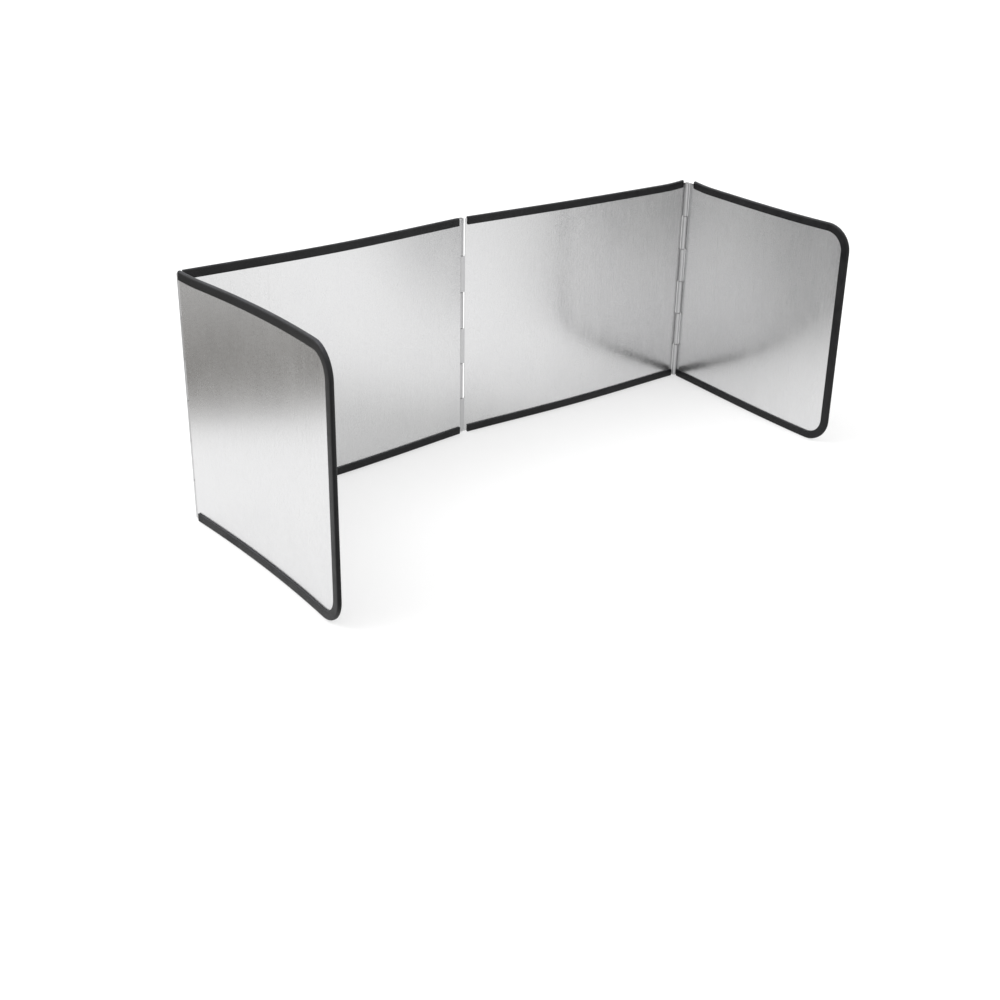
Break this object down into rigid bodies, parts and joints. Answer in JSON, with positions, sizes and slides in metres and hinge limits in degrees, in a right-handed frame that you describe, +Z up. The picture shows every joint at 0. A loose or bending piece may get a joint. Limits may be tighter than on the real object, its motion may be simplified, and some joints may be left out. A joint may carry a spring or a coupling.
{
  "type": "folding windscreen",
  "caption": "Free-standing folding windscreen of thin aluminium panels on long knuckle hinges, with rubber edge trim, standing in a U round a camping cooker.",
  "frame": {"origin": "middle of the footprint on the ground, in the stored pose", "axes": "+Z up, +X from the left end panel to the right end panel, -Y towards the open side"},
  "size_m": [0.628, 0.2574, 0.24],
  "materials": {
    "sheet": "mill finish, satin",
    "pin": "drawn wire",
    "trim": "satin black"
  },
  "bodies": {
    "left_main": {"left_main_panel": "sheet", "left_main_top_trim": "trim", "left_main_bottom_trim": "trim", "left_hinge_pin": "pin", "centre_hinge_pin": "pin"},
    "left_end": {"left_end_panel": "sheet", "left_end_trim": "trim"},
    "right_main": {"right_main_panel": "sheet", "right_main_top_trim": "trim", "right_main_bottom_trim": "trim", "right_hinge_pin": "pin"},
    "right_end": {"right_end_panel": "sheet", "right_end_trim": "trim"}
  },
  "joints": [
    {"name": "left_fold", "type": "hinge", "parent": "left_main", "child": "left_end", "pos_m": [-0.30964, 0.1101, 0.12], "axis": [0, 0, 1], "range_deg": [-91.2, 79.2]},
    {"name": "centre_fold", "type": "hinge", "parent": "left_main", "child": "right_main", "pos_m": [0, 0.12582, 0.12], "axis": [0, 0, 1], "range_deg": [-66, 178]},
    {"name": "right_fold", "type": "hinge", "parent": "right_main", "child": "right_end", "pos_m": [0.30964, 0.1101, 0.12], "axis": [0, 0, -1], "range_deg": [-91.2, 79.2]}
  ]
}
